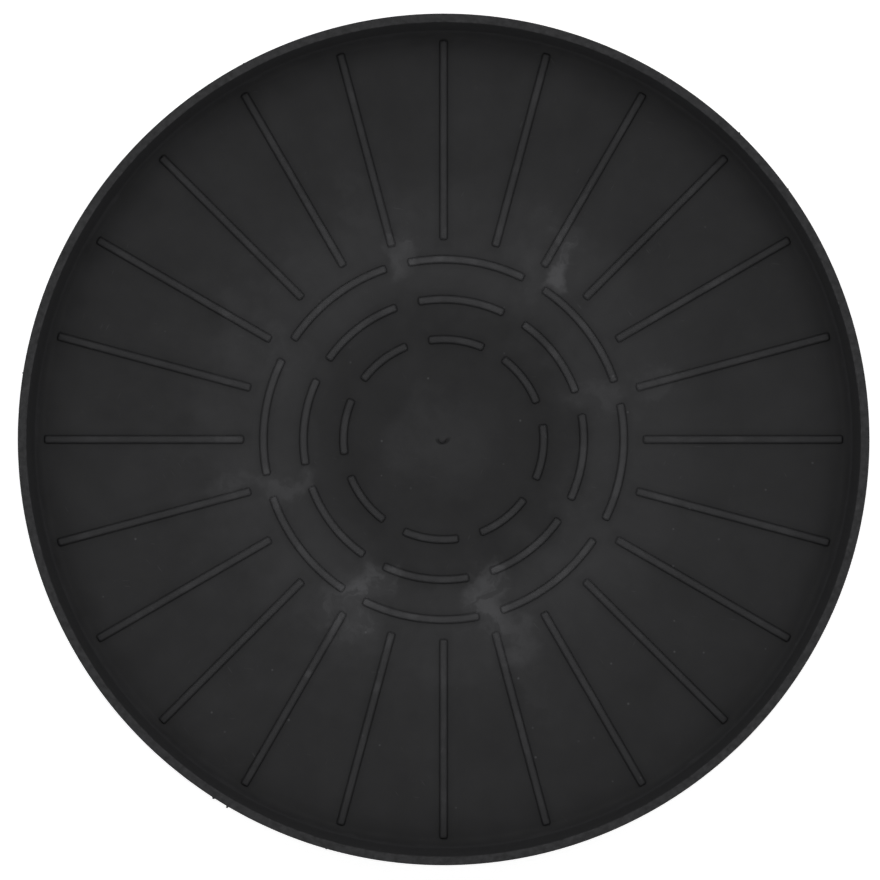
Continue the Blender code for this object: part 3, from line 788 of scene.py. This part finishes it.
def hood_mesh(material):
    """The hood about its swivel axis, with the axle behind it at -X."""
    to_axle = move(-TRAIL, 0, WHEEL_RADIUS)
    fan = arc((0, 0), HOOD_RADIUS, HOOD_FROM, HOOD_TO, 60)
    lug = arc((0, 0), 7, 170, 285, 20)
    rounding, steps = 1.1, 4
    sections = []
    for i in range(steps + 1):
        a = math.radians(90 * i / steps)
        inset = rounding * (1 - math.sin(a))
        sections.append((inset, -WHEEL_OUTER + rounding * (1 - math.cos(a))))
    sections += [(inset, -y) for inset, y in reversed(sections)]
    outlines = []
    for inset, y in sections:
        scale = (HOOD_RADIUS - inset) / HOOD_RADIUS
        outlines.append(([(u * scale, v * scale) for u, v in fan] + lug, y))
    body = cutter(stack(outlines, to_axle @ turn(90, "X")), "hood_body")
    boss = [
        (0, HOOD_TOP),
        (6.2, HOOD_TOP),
        *arc((6.2, HOOD_TOP - 0.6), 0.6, 90, 0, 4)[1:],
        (6.9, HOOD_TOP - 2.4),
        (7.4, HOOD_TOP - 4),
        (7.4, 22),
        (0, 22),
    ]
    boss = cutter(lathe(boss, 64), "hood_boss")
    cuts = []
    fillet = 1.2
    well_foot = arc((WELL_RADIUS - fillet, WEB_HALF + fillet), fillet, 0, -90, 4)
    well = [(0, 20), (WELL_RADIUS, 20), (WELL_RADIUS, WEB_HALF + fillet), *well_foot, (0, WEB_HALF)]
    for side in (1, -1):
        cuts.append(cutter(lathe(well, 128, matrix=to_axle @ turn(-90 * side, "X")), "hood_well"))
    hole = [(0, 20), (2.15, 20), (2.15, -20), (0, -20)]
    cuts.append(cutter(lathe(hole, 40, matrix=to_axle @ turn(-90, "X")), "hood_hole"))
    mouth, bore_bottom = PIVOT_BORE + 0.6, PIVOT_BOTTOM - 0.6
    pivot = [(0, 40), (mouth, 40), (mouth, HOOD_TOP - 0.2), (PIVOT_BORE, HOOD_TOP - 0.8)]
    pivot += [(PIVOT_BORE, bore_bottom), (0, bore_bottom)]
    cuts.append(cutter(lathe(pivot, 48), "hood_pivot"))
    groove = [(0, KEEPER_GROOVE_HIGH), (KEEPER_GROOVE, KEEPER_GROOVE_HIGH)]
    groove += [(KEEPER_GROOVE, KEEPER_GROOVE_LOW), (0, KEEPER_GROOVE_LOW)]
    groove = cutter(lathe(groove, 48), "hood_groove")

    def boolean(operation, other):
        modifier = body.modifiers.new("shape", "BOOLEAN")
        modifier.operation = operation
        modifier.object = other

    def weld():
        """Closes the hairline gaps that a cut or a bevel leaves."""
        body.modifiers.new("weld", "WELD").merge_threshold = 0.002 * MM

    boolean("UNION", boss)
    for cut in cuts:
        boolean("DIFFERENCE", cut)
    bevel = body.modifiers.new("edges", "BEVEL")
    bevel.width = 0.3 * MM
    bevel.segments = 2
    bevel.limit_method = "ANGLE"
    bevel.angle_limit = math.radians(40)
    weld()
    boolean("DIFFERENCE", groove)
    weld()
    bpy.context.view_layer.update()
    mesh = bpy.data.meshes.new_from_object(body.evaluated_get(bpy.context.evaluated_depsgraph_get()))
    mesh.name = "caster_hood"
    mesh.materials.clear()
    mesh.materials.append(material)
    mesh.shade_smooth()
    mesh.set_sharp_from_angle(angle=math.radians(35))
    for obj in (body, boss, *cuts, groove):
        bpy.data.objects.remove(obj)
    return mesh


def place(mesh, name, node, body, slot, matrix):
    """One piece that stands for a CAD node. The casters' pieces share their meshes."""
    obj = link(name, mesh)
    matrix = matrix.copy()
    matrix.translation *= MM
    obj.matrix_world = matrix
    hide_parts(node)
    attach(obj, body)


def shared_mesh(name, build, material):
    obj = build.object(name, material)
    mesh = obj.data
    bpy.data.objects.remove(obj)
    return mesh


def make_casters(plastic, wheel_plastic, steel, spring):
    stem = shared_mesh("stem", Build().add(stem_shell()), steel)
    axle = shared_mesh("axle", Build().add(axle_shell()), steel)
    wheel = shared_mesh("wheel", wheel_shell(), wheel_plastic)
    hood = hood_mesh(plastic)
    for i in range(CASTERS):
        n = i + 1
        caster = f"caster_{n}"
        swivel, at = socket(i), axle_place(i)
        place(stem, f"stem_piece_{n}", f"swivel_stem_{n}", "tray", "steel", swivel)
        place(hood, f"hood_piece_{n}", f"caster_hood_{n}", caster, "caster_plastic", swivel @ turn(180))
        place(axle, f"axle_piece_{n}", f"axle_{n}", caster, "steel", at)
        for side, outwards in (("left", at), ("right", at @ turn(180, "X"))):
            node = f"wheel_{side}_{n}"
            place(wheel, f"wheel_{side}_piece_{n}", node, node, "wheel_plastic", outwards)
        for kind in ("grip", "keeper"):
            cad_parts[f"stem_{kind}_ring_{n}"].data.materials[0] = spring


# The surroundings.


def add_floor():
    g = Graph("pale_floor")
    clouds = g.noise(g.millimetres(), 400, 2)
    colour = g.colour(g.add(0.9, g.mul(clouds, 0.03)), (1.0, 1.0, 1.0))
    material = g.finish(colour, 0.9, Specular_IOR_Level=0.1, Emission_Strength=0.62)
    half = STAGE_HALF / MM
    outline = [(-half, -half), (half, -half), (half, half), (-half, half)]
    floor = Build().add(stack([(outline, -20), (outline, 0)])).object("floor", material)


def add_lights():
    """A ring of soft lights that face the middle. The ones on the +Y side are stronger."""
    for i in range(LIGHTS):
        a = math.radians(90 + 360 / LIGHTS * i)
        light = bpy.data.lights.new(f"soft_{i}", "AREA")
        light.shape = "SQUARE"
        light.size = LIGHT_SIZE
        light.energy = LIGHT_POWER + LIGHT_POWER_CHANGE * math.sin(a)
        obj = link(light.name, light)
        obj.location = (LIGHT_DISTANCE * math.cos(a), LIGHT_DISTANCE * math.sin(a), LIGHT_HEIGHT)
        obj.rotation_euler = (-obj.location).to_track_quat("-Z", "Y").to_euler()


def add_camera():
    """Straight above the rim, with the tray just inside the picture."""
    camera = bpy.data.cameras.new("camera")
    camera.sensor_width = 36
    camera.lens = camera.sensor_width * CAMERA_HEIGHT / (2 * HALF_PICTURE)
    obj = link("camera", camera)
    obj.location = (*CAMERA_OFFSET, CAMERA_HEIGHT + RIM_TOP * MM)
    bpy.context.scene.camera = obj


def add_world():
    world = bpy.data.worlds.new("studio")
    world.use_nodes = True
    background = world.node_tree.nodes["Background"]
    background.inputs["Color"].default_value = (1, 1, 1, 1)
    background.inputs["Strength"].default_value = 0.15
    bpy.context.scene.world = world


make_tray(tray_plastic())
make_casters(caster_plastic(), wheel_plastic(), plated_steel("steel", 0.6), plated_steel("spring_steel", 0.4))
add_floor()
add_camera()
add_world()
add_lights()
bpy.context.scene.view_settings.view_transform = "Standard"
